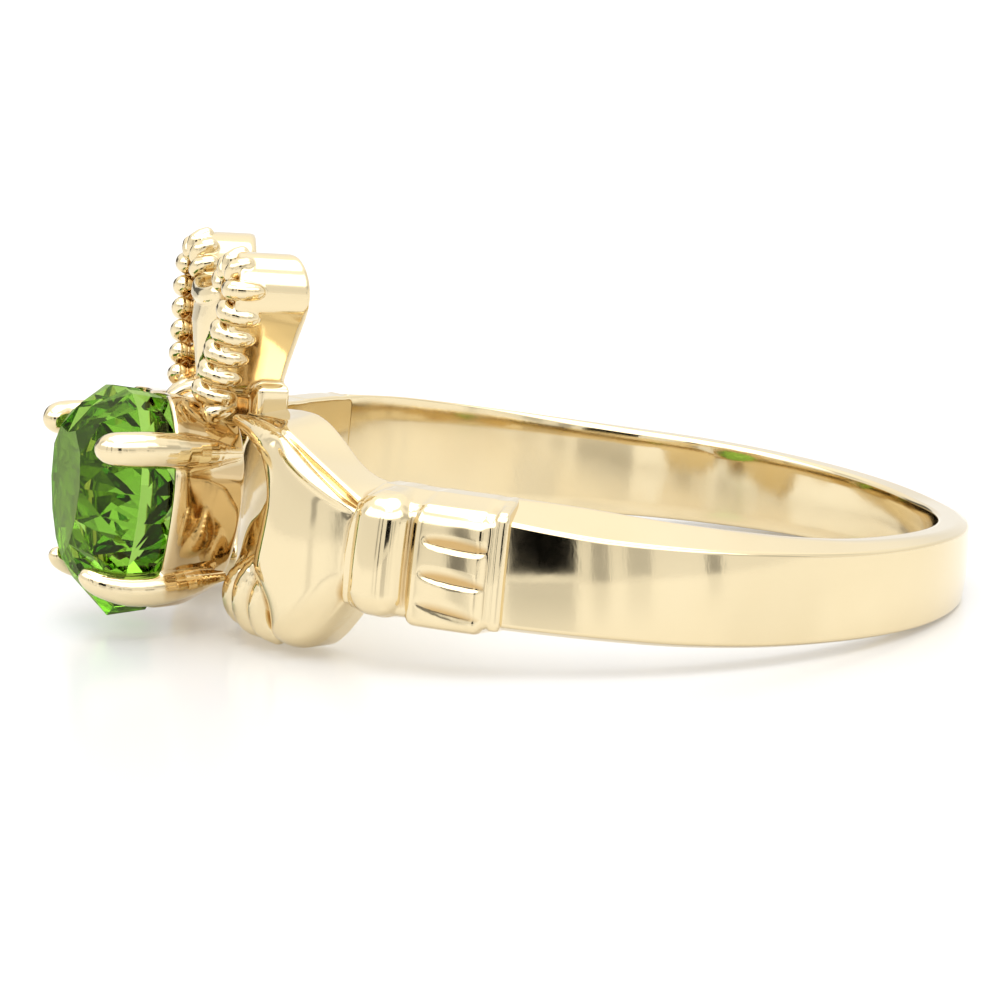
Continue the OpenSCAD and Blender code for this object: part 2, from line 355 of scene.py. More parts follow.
        # a pocket closed in by the metal is filled: only the outer skin stays
        lab = np.arange(n)
        while True:
            low = lab[quads].min(1)
            nxt = lab.copy()
            for i in range(4):
                np.minimum.at(nxt, quads[:, i], low)
            nxt = nxt[nxt]
            if (nxt == lab).all():
                break
            lab = nxt
        quads = quads[lab[quads[:, 0]] == np.bincount(lab[quads[:, 0]]).argmax()]
        used, quads = np.unique(quads, return_inverse=True)
        quads = quads.reshape(-1, 4)
        v = v[used]
        g = [np.gradient(F, axis=i) for i in range(3)]
        for _ in range(2):
            f = sample(F, v)
            gv = np.stack([sample(gi, v) for gi in g], 1)
            l2 = np.maximum((gv ** 2).sum(1), 1e-8)
            step = -(f / l2)[:, None] * gv
            ln = np.linalg.norm(step, axis=1)
            step *= np.minimum(1, 0.4 / np.maximum(ln, 1e-9))[:, None]
            v = v + step
        gv = np.stack([sample(gi, v) for gi in g], 1)
        nrm = gv / np.maximum(np.linalg.norm(gv, axis=1), 1e-9)[:, None]
        # painted shade: how deep each point sits in a hollow, from the field against its blurred copy
        r = max(int(round(0.12 / self.h)), 1)
        soft = box_blur(box_blur(np.clip(F, -0.6, 0.6), r), r)
        painted_shade = np.clip(-sample(soft - np.clip(F, -0.6, 0.6), v) / 0.05, 0, 1)
        return self.lo + v * self.h, quads, nrm, painted_shade


def around(v, nrm):
    """(s, r, z) with s = 10 x angle, to the ring frame; the axes keep their handedness."""
    a = v[:, 0] / 10.0
    r = v[:, 1]
    sa, ca = np.sin(a), np.cos(a)
    out = np.stack([r * sa, r * ca, v[:, 2]], 1)
    ns = nrm[:, 0] * 10.0 / r
    n = np.stack([ns * ca + nrm[:, 1] * sa, -ns * sa + nrm[:, 1] * ca, nrm[:, 2]], 1)
    return out, n / np.linalg.norm(n, axis=1)[:, None]


def S(angle):
    return np.asarray(angle, float) * RAD * 10.0


# ------------------------------------------------------------------ materials


def srgb(r, g, b):
    def f(c):
        c /= 255.0
        return c / 12.92 if c <= 0.04045 else ((c + 0.055) / 1.055) ** 2.4
    return (f(r), f(g), f(b), 1.0)


def node(nt, kind, loc=(0, 0), **kw):
    n = nt.nodes.new(kind)
    n.location = loc
    for k, val in kw.items():
        setattr(n, k, val)
    return n


def gold_material(name, scratch=1.0):
    mat = bpy.data.materials.new(name)
    mat.use_nodes = True
    nt = mat.node_tree
    nt.nodes.clear()
    out = node(nt, "ShaderNodeOutputMaterial", (900, 0))
    bsdf = node(nt, "ShaderNodeBsdfPrincipled", (600, 0))
    bsdf.inputs["Metallic"].default_value = 1.0
    nt.links.new(bsdf.outputs[0], out.inputs[0])
    tc = node(nt, "ShaderNodeTexCoord", (-1100, 0))
    # colour: polished pale gold with a slow drift; hollows get painted shade, a darker brown gold mixed in
    shade_fac = node(nt, "ShaderNodeAttribute", (-900, 350), attribute_name="painted_shade")
    drift = node(nt, "ShaderNodeTexNoise", (-900, 150))
    drift.inputs["Scale"].default_value = 260.0
    drift.inputs["Detail"].default_value = 3.0
    nt.links.new(tc.outputs["Object"], drift.inputs["Vector"])
    tint = node(nt, "ShaderNodeValToRGB", (-650, 150))
    tint.color_ramp.elements[0].position = 0.3
    tint.color_ramp.elements[0].color = GOLD_A
    tint.color_ramp.elements[1].position = 0.7
    tint.color_ramp.elements[1].color = GOLD_B
    nt.links.new(drift.outputs["Fac"], tint.inputs["Fac"])
    # painted shade: the per-vertex shade value sets how much darker gold is mixed in
    ramp = node(nt, "ShaderNodeMapRange", (-650, 400))
    ramp.inputs["From Min"].default_value = 0.25
    ramp.inputs["From Max"].default_value = 1.0
    ramp.inputs["To Max"].default_value = 0.85
    nt.links.new(shade_fac.outputs["Fac"], ramp.inputs["Value"])
    mix = node(nt, "ShaderNodeMix", (-350, 250), data_type="RGBA")
    mix.inputs[7].default_value = GOLD_SHADE
    nt.links.new(ramp.outputs[0], mix.inputs[0])
    nt.links.new(tint.outputs[0], mix.inputs[6])
    nt.links.new(mix.outputs[2], bsdf.inputs["Base Color"])
    # roughness: polish with faint wear
    wear = node(nt, "ShaderNodeTexNoise", (-900, -150))
    wear.inputs["Scale"].default_value = 900.0
    wear.inputs["Detail"].default_value = 6.0
    wear.inputs["Roughness"].default_value = 0.62
    nt.links.new(tc.outputs["Object"], wear.inputs["Vector"])
    rr = node(nt, "ShaderNodeMapRange", (-350, -100))
    rr.inputs["From Min"].default_value = 0.3
    rr.inputs["From Max"].default_value = 0.75
    rr.inputs["To Min"].default_value = 0.055
    rr.inputs["To Max"].default_value = 0.13
    nt.links.new(wear.outputs["Fac"], rr.inputs["Value"])
    nt.links.new(rr.outputs[0], bsdf.inputs["Roughness"])
    # bump: soft waviness of a hand polish and hairline scratches
    mp = node(nt, "ShaderNodeMapping", (-900, -450))
    mp.inputs["Rotation"].default_value = (0.3, 0.7, 0.5)
    mp.inputs["Scale"].default_value = (900.0, 9000.0, 2400.0)
    nt.links.new(tc.outputs["Object"], mp.inputs["Vector"])
    hair = node(nt, "ShaderNodeTexNoise", (-700, -450))
    hair.inputs["Scale"].default_value = 1.0
    hair.inputs["Detail"].default_value = 2.0
    nt.links.new(mp.outputs[0], hair.inputs["Vector"])
    wave = node(nt, "ShaderNodeTexNoise", (-700, -650))
    wave.inputs["Scale"].default_value = 420.0
    wave.inputs["Detail"].default_value = 1.0
    nt.links.new(tc.outputs["Object"], wave.inputs["Vector"])
    b1 = node(nt, "ShaderNodeBump", (-350, -450))
    b1.inputs["Strength"].default_value = 0.05 * scratch
    b1.inputs["Distance"].default_value = 0.00001
    nt.links.new(hair.outputs["Fac"], b1.inputs["Height"])
    b2 = node(nt, "ShaderNodeBump", (-100, -450))
    b2.inputs["Strength"].default_value = 0.35
    b2.inputs["Distance"].default_value = 0.00003
    nt.links.new(wave.outputs["Fac"], b2.inputs["Height"])
    nt.links.new(b1.outputs[0], b2.inputs["Normal"])
    nt.links.new(b2.outputs[0], bsdf.inputs["Normal"])
    return mat


def stone_material():
    mat = bpy.data.materials.new("green_stone")
    mat.use_nodes = True
    nt = mat.node_tree
    nt.nodes.clear()
    out = node(nt, "ShaderNodeOutputMaterial", (700, 0))
    bsdf = node(nt, "ShaderNodeBsdfGlass", (400, 0))
    bsdf.inputs["Roughness"].default_value = 0.0
    bsdf.inputs["IOR"].default_value = 1.56
    nt.links.new(bsdf.outputs[0], out.inputs[0])
    tc = node(nt, "ShaderNodeTexCoord", (-700, 0))
    nz = node(nt, "ShaderNodeTexNoise", (-500, 0))
    nz.inputs["Scale"].default_value = 300.0
    nz.inputs["Detail"].default_value = 3.0
    nt.links.new(tc.outputs["Object"], nz.inputs["Vector"])
    cr = node(nt, "ShaderNodeValToRGB", (-250, 0))
    cr.color_ramp.elements[0].position = 0.3
    cr.color_ramp.elements[0].color = (0.52, 0.725, 0.27, 1)
    cr.color_ramp.elements[1].position = 0.7
    cr.color_ramp.elements[1].color = (0.60, 0.79, 0.345, 1)
    nt.links.new(nz.outputs["Fac"], cr.inputs["Fac"])
    nt.links.new(cr.outputs[0], bsdf.inputs["Color"])
    return mat


GOLD_A = (0.80, 0.665, 0.415, 1)
GOLD_B = (0.84, 0.71, 0.46, 1)
# darker brown gold mixed in as painted shade in hollows
GOLD_SHADE = (0.53, 0.315, 0.095, 1)
GOLD = gold_material("polished_gold")
GOLD_BAND = gold_material("polished_gold_band", 1.6)
GREEN = stone_material()

# ------------------------------------------------------------------ mesh objects


def add_piece(name, v, faces, nrm=None, painted_shade=None, mat=None, replaces="ring_body", flip=False, smooth=True):
    v = np.asarray(v, float)
    if flip:
        v = v * [-1, 1, 1]
        nrm = None if nrm is None else nrm * [-1, 1, 1]
        faces = [f[::-1] for f in faces] if isinstance(faces, list) else faces[:, ::-1]
    me = bpy.data.meshes.new(name)
    me.from_pydata(at_rest(v).tolist(), [], faces if isinstance(faces, list) else faces.tolist())
    me.update()
    me.validate(clean_customdata=False)
    if smooth:
        me.polygons.foreach_set("use_smooth", np.ones(len(me.polygons), bool))
    # per-vertex painted shade, read by the gold material
    if painted_shade is not None:
        at = me.attributes.new("painted_shade", "FLOAT", "POINT")
        at.data.foreach_set("value", np.asarray(painted_shade, np.float32))
    if nrm is not None:
        me.normals_split_custom_set_from_vertices(at_rest(nrm, False).tolist())
    ob = bpy.data.objects.new(name, me)
    me.materials.append(mat)
    bpy.context.scene.collection.objects.link(ob)
    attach(ob, "root")
    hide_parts(replaces)
    return ob


# ------------------------------------------------------------------ shank


def band_r(a):
    """Outer radius of the band at an angle from its back."""
    c = math.cos(a * RAD)
    return -BAND_SHIFT * c + math.sqrt(BAND_R ** 2 - (BAND_SHIFT * math.sin(a * RAD)) ** 2)


def corner(c, a, b, rho, n=6):
    """Points and tangents of a rounded corner at c between a and b."""
    c, a, b = np.array(c, float), np.array(a, float), np.array(b, float)
    da, db = a - c, b - c
    la, lb = np.linalg.norm(da), np.linalg.norm(db)
    rho = min(rho, la * 0.45, lb * 0.45)
    p0, p2 = c + da / la * rho, c + db / lb * rho
    out = []
    for i in range(n + 1):
        t = i / n
        p = (1 - t) ** 2 * p0 + 2 * t * (1 - t) * c + t * t * p2
        d = 2 * (1 - t) * (c - p0) + 2 * t * (p2 - c)
        out.append((p[0], p[1], d[0], d[1]))
    return out


# half widths by angle from the back: outer face and finger side, upper and lower
face_up = curve([(-130, 1.58), (-120, 1.46), (-117, 1.40), (-106.6, 1.22), (-93, 1.12), (-71, 1.01), (-46, 0.98), (0, 0.80), (46, 0.98), (71, 1.01), (93, 1.12), (106.6, 1.22), (117, 1.40), (120, 1.46), (130, 1.58)], 3)
face_low = curve([(-130, 0.95), (-120, 0.97), (-116, 0.98), (-105.5, 1.02), (-94.6, 1.09), (-83, 1.10), (-69, 1.06), (-50, 1.02), (0, 0.78), (50, 1.02), (69, 1.06), (83, 1.10), (94.6, 1.09), (105.5, 1.02), (116, 0.98), (120, 0.97), (130, 0.95)], 3)
side_up = curve([(-130, 1.92), (-119.5, 1.84), (-108, 1.75), (-93, 1.52), (-78.5, 1.32), (-65, 1.18), (-46, 1.10), (0, 0.85), (46, 1.10), (65, 1.18), (78.5, 1.32), (93, 1.52), (108, 1.75), (119.5, 1.84), (130, 1.92)], 3)
side_low = curve([(-130, 1.12), (-119.5, 1.13), (-108, 1.18), (-95, 1.24), (-80, 1.22), (-65, 1.15), (-46, 1.07), (0, 0.82), (46, 1.07), (65, 1.15), (80, 1.22), (95, 1.24), (108, 1.18), (119.5, 1.13), (130, 1.12)], 3)


def band_section(a, shrink=0.0):
    """Closed section (radius, z, tangent) of the band at an angle."""
    ro = band_r(a) + 0.10 * math.exp(-(a / 50.0) ** 2) - shrink
    ri = BORE + shrink
    # the outer face is a slow dome whose crest lies below the middle near the head
    near = min(max((abs(a) - 40.0) / 50.0, 0.0), 1.0)
    near = near * near * (3 - 2 * near)
    k = 0.085 + 0.020 * near
    crest = -0.48 * near

    def face(z):
        return ro - 0.5 * k * (z - crest) ** 2

    def half(up):
        sg = 1.0 if up else -1.0
        wo = float((face_up if up else face_low)(a)) - shrink
        wi = float((side_up if up else side_low)(a)) - shrink
        wi = max(wi, wo + 0.03)
        edge = face(sg * wo)
        rm = max(edge - (wi - wo) / SHOULDER, ri + 0.16)
        row = []
        for t in np.linspace(0, 1, 9)[:-1]:
            z = sg * t * (wo - 0.07)
            row.append((face(z), z, -k * (z - crest) * sg, sg))
        pts = [(edge, sg * wo), (rm, sg * wi), (ri + 0.05, sg * wi)]
        last = (row[-1][0], row[-1][1])
        row += corner(pts[0], last, pts[1], 0.09)
        row += corner(pts[1], pts[0], pts[2], 0.14)
        row += corner(pts[2], pts[1], (ri + 0.012, sg * wi * 0.72), 0.2)
        for t in np.linspace(0.62, 0, 6):
            row.append((ri + 0.012 * (t / 0.72) ** 2, sg * wi * t, 0.0, -sg))
        return row
    low = [(r, z, -dr, -dz) for r, z, dr, dz in half(False)[::-1]]
    return half(True) + low[1:-1]


def make_shank():
    end = 119.6
    angles = list(np.linspace(-118.9, 118.9, 331))
    sections = [band_section(-end, 0.12), band_section(-118.95, 0.12)] + [band_section(a) for a in angles] + [band_section(118.95, 0.12), band_section(end, 0.12)]
    angles = [-end, -118.95] + angles + [118.95, end]
    m = len(sections[0])
    n = len(sections)
    P = np.zeros((n, m, 3))
    T = np.zeros((n, m, 3))
    for i, (a, sec) in enumerate(zip(angles, sections)):
        sa, ca = math.sin(a * RAD), math.cos(a * RAD)
        sec = np.array(sec)
        P[i] = np.stack([sec[:, 0] * sa, sec[:, 0] * ca, sec[:, 1]], 1)
        T[i] = np.stack([sec[:, 2] * sa, sec[:, 2] * ca, sec[:, 3]], 1)
    W = np.zeros_like(P)
    W[1:-1] = P[2:] - P[:-2]
    W[0], W[-1] = P[1] - P[0], P[-1] - P[-2]
    W[1], W[2] = P[3] - P[2], P[3] - P[2]
    W[-2], W[-3] = P[-3] - P[-4], P[-3] - P[-4]
    N = np.cross(W, T)
    N /= np.linalg.norm(N, axis=2)[..., None]
    radial = P * [1, 1, 0]
    mid = N[:, 0]
    if (mid[n // 2] * radial[n // 2, 0]).sum() < 0:
        N = -N
    faces = []
    for i in range(n - 1):
        for j in range(m):
            k = (j + 1) % m
            faces.append([i * m + j, i * m + k, (i + 1) * m + k, (i + 1) * m + j])
    faces.append([j for j in range(m)][::-1])
    faces.append([(n - 1) * m + j for j in range(m)])
    V = P.reshape(-1, 3)
    # outward check on one face of the outer surface
    f = faces[(n // 2) * m]
    fn = np.cross(V[f[1]] - V[f[0]], V[f[3]] - V[f[0]])
    if (fn * V[f[0]] * [1, 1, 0]).sum() < 0:
        faces = [q[::-1] for q in faces]
    return add_piece("shank", V, faces, N.reshape(-1, 3), np.zeros(len(V)), GOLD_BAND)


# ------------------------------------------------------------------ hands and cuffs

CUFFS = [  # angle from, to, z from, to, outer radius, corner along the ring, blend
    (118.4, 140.2, -1.06, 1.50, 10.37, 0.20, 0.01),
    (118.4, 120.3, -1.09, 1.64, 10.40, 0.10, 0.04),
    (120.75, 131.35, -1.22, 1.57, 10.47, 0.24, 0.05),
    (131.65, 139.75, -1.15, 1.76, 10.79, 0.60, 0.05)]
FLUTES = [(125.0, 0.84, 0.09, 1.0), (125.1, 0.04, 0.15, 0.8), (125.3, -0.68, 0.22, 0.45)]  # angle, z, slope across, depth

# the plate behind the hand: top edge inside (by the finger) and outside
top_in = curve([(136, 1.74), (139, 1.74), (141.3, 1.75), (143.3, 1.79), (145.2, 1.89), (147.4, 2.06), (149.6, 2.32), (151.8, 2.58), (154.8, 2.83), (158, 2.96), (162, 2.95), (166, 2.88), (170, 2.80), (175, 2.78)], 0.8)
top_out = curve([(136, 1.15), (140.3, 1.46), (141.6, 1.6), (145.9, 2.01), (150.6, 2.41), (155.1, 2.75), (157.5, 2.80), (162, 2.66), (168, 2.58), (175, 2.55)], 0.8)
plate_edge = curve([(138, 9.96), (150, 9.98), (154.5, 9.96), (156.5, 9.80), (158, 9.62), (162, 9.47), (168, 9.45), (174, 9.42)], 0.5)

SHEET = [  # angle, z: everything that reaches from the finger hole outwards
    (134, 3.6), (166, 3.6), (169, 2.95), (174, 2.84), (174.3, 2.30), (170, 2.24),
    (166, 2.16), (162.5, 2.08), (159.5, 1.98), (157.0, 1.86), (155.2, 1.66), (154.8, 1.42), (156.0, 1.24), (159.0, 1.12),
    (162.3, 0.85), (164.5, 0.42), (167.0, 0.12), (168.6, -0.25), (170.0, -0.78), (171.8, -1.12), (172.4, -1.45),
    (171.6, -1.80), (168, -2.02), (164, -2.14), (160, -2.24), (155, -2.28), (151, -2.24), (148.2, -2.10), (145.2, -1.70),
    (143.4, -1.38), (141.6, -1.0), (140, -0.80), (134, -0.80)]
PALM = [  # angle, z: outline of the raised hand
    (134, 1.08), (138, 1.12), (140.4, 1.28), (142.6, 1.49), (145.2, 1.73), (148.0, 2.00), (151.1, 2.33), (153.2, 2.53), (154.8, 2.60),
    (156.2, 2.58), (157.2, 2.42), (157.2, 2.18), (156.6, 1.92), (155.9, 1.65), (155.5, 1.38), (155.5, 1.05),
    (156.3, 0.62), (157.3, 0.18), (158.2, -0.2), (158.6, -0.6), (157.6, -0.98), (156.2, -1.2), (154.9, -1.5), (154.2, -1.8),
    (153.7, -2.12), (152.4, -2.34), (150.2, -2.40), (148.2, -2.32), (146.6, -2.14), (145.2, -1.92), (143.4, -1.57), (141.6, -1.16),
    (140.5, -0.92), (138, -0.85), (134, -0.85)]
palm_out = curve([(138, 10.10), (140.5, 10.14), (143, 10.28), (146, 10.46), (149, 10.58), (152, 10.62), (154.5, 10.58), (157, 10.48), (159.5, 10.36), (162, 10.2)], 0.9)
palm_edge = curve([(-3, 1.0), (-1.5, 0.95), (-0.6, 0.75), (0.4, 0.55), (1.2, 0.32), (1.6, 0.17), (2.2, 0.14), (3, 0.14)], 0.15)

FINGERS = [  # rows of angle, radius of the centre line, z, thickness
    [(153.0, 9.86, -0.40, 0.20), (154.4, 10.04, -0.78, 0.28), (155.6, 10.10, -1.20, 0.35), (156.2, 10.08, -1.65, 0.36), (155.9, 9.98, -2.0, 0.34), (154.6, 9.78, -2.22, 0.25)],
    [(156.2, 9.62, -0.20, 0.20), (158.0, 9.86, -0.60, 0.29), (159.8, 9.95, -1.10, 0.41), (160.5, 9.94, -1.60, 0.43), (160.1, 9.84, -1.98, 0.39), (158.6, 9.64, -2.20, 0.27)],
    [(160.4, 9.42, -0.40, 0.18), (162.6, 9.58, -0.80, 0.27), (164.8, 9.70, -1.25, 0.40), (165.6, 9.70, -1.65, 0.42), (164.9, 9.62, -1.95, 0.38), (163.0, 9.46, -2.16, 0.26)],
    [(166.4, 9.30, -0.80, 0.18), (168.2, 9.38, -1.16, 0.24), (169.8, 9.40, -1.42, 0.28), (170.6, 9.36, -1.62, 0.28), (169.6, 9.28, -1.82, 0.22)]]
THUMB = [(152.8, 9.96, 1.40, 0.42), (154.4, 10.00, 1.92, 0.45), (156.2, 10.03, 2.22, 0.42), (159.0, 10.02, 2.40, 0.34), (161.6, 9.98, 2.50, 0.27), (164.4, 9.97, 2.56, 0.20), (166.8, 9.99, 2.60, 0.13)]


def sink(s, z):
    """Depth of the three sunk flutes: each slopes in from above and ends in a crisp lower lip."""
    out = 0.0
    for ang, zc, slope, deep in FLUTES:
        u = (s - S(ang)) / 0.78
        ends = np.sqrt(np.maximum(1 - u * u, 0))
        w = (z - zc - slope * u * 0.5) / (0.20 * np.sqrt(ends) + 0.01)
        g = np.clip((1 - w) / 1.8, 0, 1)
        g = g * (0.45 + 0.55 * g) * np.clip((w + 1) / (0.20 + 0.45 * (1 - deep)), 0, 1)
        out = out + 0.080 * deep * ends * g
    return out


def hand_field(h):
    f = Field((S(118.0), 8.5, -2.75), (S(174.6), 11.1, 3.2), h)

    # cuffs: rounded blocks along the ring on a common core
    for a0, a1, z0, z1, ro, rho, k in CUFFS:
        def block(s, r, z, a0=a0, a1=a1, z0=z0, z1=z1, ro=ro, rho=rho):
            top = (1.82 - z1) * np.clip((10.3 - r) / 1.0, 0, 1)
            low = 0.12 * np.clip((10.3 - r) / 1.0, 0, 1.3)
            rz = rho if rho > 0.25 else 0.22
            qs = np.maximum(S(a0) + rho - s, s - S(a1) + rho)
            rt = 0.42 if ro == 10.47 else rz
            qt = (z - z1 + rt - top) / rt
            ql = (z0 + rz - z - low) / rz
            qz = np.maximum(qt, ql)
            face = ro - 0.045 * (z + 0.45) ** 2 + 0.03
            if ro == 10.47:
                face = face - sink(s, z)
            # pillow corners: radius rho along the ring, rz across it
            e = np.sqrt(np.maximum(qs / rho, 0) ** 2 + np.maximum(qz, 0) ** 2)
            inside = np.maximum(qs - rho, (qz - 1) * rz)
            cap = np.sqrt(np.maximum(1 - np.minimum(e, 1) ** 2, 0))
            m = max(rho, 0.16) if rho > 0.4 else rho
            height = face - m * (1 - cap)
            d = smax((r - height) * 0.8, inside, 0.03)
            corner_ = (e - 1) * min(rho, rz)
            return np.maximum(d, corner_)
        f.add(block, (S(118.0), 8.5, -1.9), (S(140.9), 11.1, 2.3), k)
    # plate
    sl, s, r, z = f.part((S(134), 8.5, -2.75), (S(174.6), 11.1, 3.2))
    a = s / RAD / 10
    d_sheet = outline(s, z, [(float(S(p[0])), p[1]) for p in spline(SHEET, 5, True)])
    d_palm = outline(s, z, [(float(S(p[0])), p[1]) for p in spline(PALM, 6, True)])
    zt = top_in(a) + (top_out(a) - top_in(a)) * (r - BORE) / 1.35
    lip = np.maximum(0, 1 - np.abs(z - (top_out(a) - 0.07)) / 0.16)
    hp = plate_edge(a) + 0.10 * lip * lip * (3 - 2 * lip) * np.clip((157 - a) / 1.5, 0, 1)
    plate = smax(r - hp, (z - zt) * 0.93, 0.07)
    plate = smax(plate, d_sheet, 0.12)
    # raised hand
    edge = palm_edge(z)
    t = np.clip(-d_palm / edge, 0, 1)
    dome = edge * (1 - np.sqrt(np.maximum(1 - (1 - t) ** 2, 0)))
    ridge = np.exp(-((-d_palm - 0.14) / 0.10) ** 2) * np.clip((z - 1.0) / 0.4, 0, 1) * (a > 139) * np.clip((154 - a) / 3, 0, 1)
    dip = np.exp(-((-d_palm - 0.42) / 0.20) ** 2) * np.clip((z - 1.0) / 0.5, 0, 1) * np.clip((155 - a) / 4, 0, 1)
    hh = palm_out(a) + 0.02 - 0.032 * np.maximum(z + 0.3, 0) ** 2 - 0.92 * dome + 0.10 * ridge - 0.01 * dip
    # a narrow groove parts the hand's upper edge from the plate behind it
    groove = 0.13 * np.clip((z - 1.0) / 0.4, 0, 1) * np.clip((10.24 - r) / 0.12, 0, 1) * np.clip((158 - a) / 2, 0, 1)
    palm = smax(r - hh, d_palm + groove, 0.04)
    palm = smax(palm, 8.9 - r, 0.05)
    hand = smin(plate, palm, 0.05)
    hand = smax(hand, S(137.5) - s, 0.05)
    f.F[sl] = smin(f.F[sl], hand.astype(np.float32), 0.04)

    # thin ring at the wrist, which leans as the hand does
    def wrist(s, r, z):
        lean = np.interp(z, [-1.0, 0.15, 0.8, 1.35], [140.75, 140.7, 140.3, 139.5]) * 10 * RAD
        q1 = np.abs(s - lean) - 0.05
        q2 = r - (10.20 - 0.30 * np.maximum(np.abs(z - 0.25) - 0.75, 0) ** 2)
        q3 = np.abs(z - 0.22) - 1.16
        d = np.sqrt(np.maximum(q1, 0) ** 2 + np.maximum(q2, 0) ** 2 + np.maximum(q3, 0) ** 2) - 0.06
        return np.maximum(d, 9.0 - r)
    f.add(wrist, (S(138.5), 8.8, -1.6), (S(142.4), 10.7, 1.8), 0.05)
    # thumb and fingers
    f.tube([(float(S(a_)), r_, z_, t_) for a_, r_, z_, t_ in THUMB], 0.22, 4)
    for rows in FINGERS:
        f.tube([(float(S(a_)), r_, z_, t_) for a_, r_, z_, t_ in rows], 0.13, 3)
    # the finger hole
    f.F = smax(f.F, (BORE - f.ax[1])[None, :, None], 0.05).astype(np.float32)
    return f


def make_hands():
    h = 0.042
    v, q, n, shade_fac = hand_field(h).mesh()
    # painted shade: the downward-facing insides of the flutes are darkened, standing in for the brown gold they
    # reflect
    shade_fac = np.maximum(shade_fac, 0.95 * np.clip(sink(v[:, 0], v[:, 2]) / 0.025, 0, 1) * np.clip(0.35 - n[:, 2], 0, 0.3) / 0.3 * (v[:, 1] > 10.2))
    # painted shade is lightened across the hand's upper part, between 142 and 170 degrees
    ang = v[:, 0] / RAD / 10
    valley = np.clip((ang - 142) / 1.5, 0, 1) * np.clip((170 - ang) / 1.5, 0, 1) * np.clip((v[:, 2] - 1.2) / 0.3, 0, 1) * np.clip((v[:, 1] - 9.6) / 0.2, 0, 1)
    shade_fac = shade_fac * (1 - 0.75 * valley)
    p, nn = around(v, n)
    add_piece("hand_right", p, q, nn, shade_fac, GOLD)
    add_piece("hand_left", p, q, nn, shade_fac, GOLD, flip=True)


# ------------------------------------------------------------------ heart


def heart(g=0.0, n1=40, n2=60):
    """Heart outline grown by g, counter-clockwise from the tip, right half then left."""
    side = -12 * RAD
    r = LOBE_R + g
    tz = TIP_Z + 1.3 * g
    su = (math.cos(side), math.sin(side))
    d = (-LOBE_X, -tz - LOBE_Z)
    q = (d[0] ** 2 + d[1] ** 2 - r * r) / (2 * (r - d[0] * su[0] - d[1] * su[1]))
    c = (LOBE_X - q * su[0], LOBE_Z - q * su[1])
    t0 = math.atan2(-tz - c[1], -c[0])
    cleft = math.acos(-LOBE_X / r)
    half = [(c[0] + (q + r) * math.cos(t), c[1] + (q + r) * math.sin(t)) for t in np.linspace(t0, side, n1, endpoint=False)]
    half += [(LOBE_X + r * math.cos(t), LOBE_Z + r * math.sin(t)) for t in np.linspace(side, cleft, n2)]
    return half + [(-x, z) for x, z in half[-2:0:-1]]


HEART_CY = 0.55
TURN = 4.5 * RAD  # the setter left the heart a touch askew


def even_heart(n_half, g=0.0):
    """Heart outline in equal steps, with the tip and the cleft among them."""
    h = np.array(heart(g, 200, 300))
    half = h[: 500]
    seg = np.r_[0, np.cumsum(np.linalg.norm(np.diff(half, axis=0), axis=1))]
    t = np.linspace(0, seg[-1], n_half + 1)
    x = np.interp(t, seg, half[:, 0])
    z = np.interp(t, seg, half[:, 1])
    right = np.stack([x, z], 1)
    left = right[1:-1][::-1] * [-1, 1]
    return np.concatenate([right, left])


# ------------------------------------------------------------------ setting

PRONGS = [  # x, height, distance outwards from the finger hole, radius
    [(2.16, 1.68, 0.95, 0.13), (2.36, 1.70, 1.30, 0.20), (2.60, 1.73, 1.75, 0.31), (2.93, 1.76, 2.55, 0.41), (3.12, 1.78, 3.35, 0.44), (3.15, 1.77, 3.92, 0.43), (3.07, 1.76, 4.20, 0.40), (2.96, 1.75, 4.32, 0.33)],
    [(1.45, -1.42, 1.00, 0.14), (1.58, -1.48, 1.40, 0.22), (1.70, -1.56, 1.85, 0.33), (1.85, -1.68, 2.60, 0.42), (1.94, -1.73, 3.35, 0.41), (1.91, -1.65, 3.92, 0.35), (1.82, -1.56, 4.20, 0.30), (1.74, -1.50, 4.34, 0.23)]]


PC, PS = math.cos(0.5 * TURN), math.sin(0.5 * TURN)


def turned(x, z):
    z = z - HEART_CY
    return x * math.cos(TURN) + z * math.sin(TURN), z * math.cos(TURN) - x * math.sin(TURN)


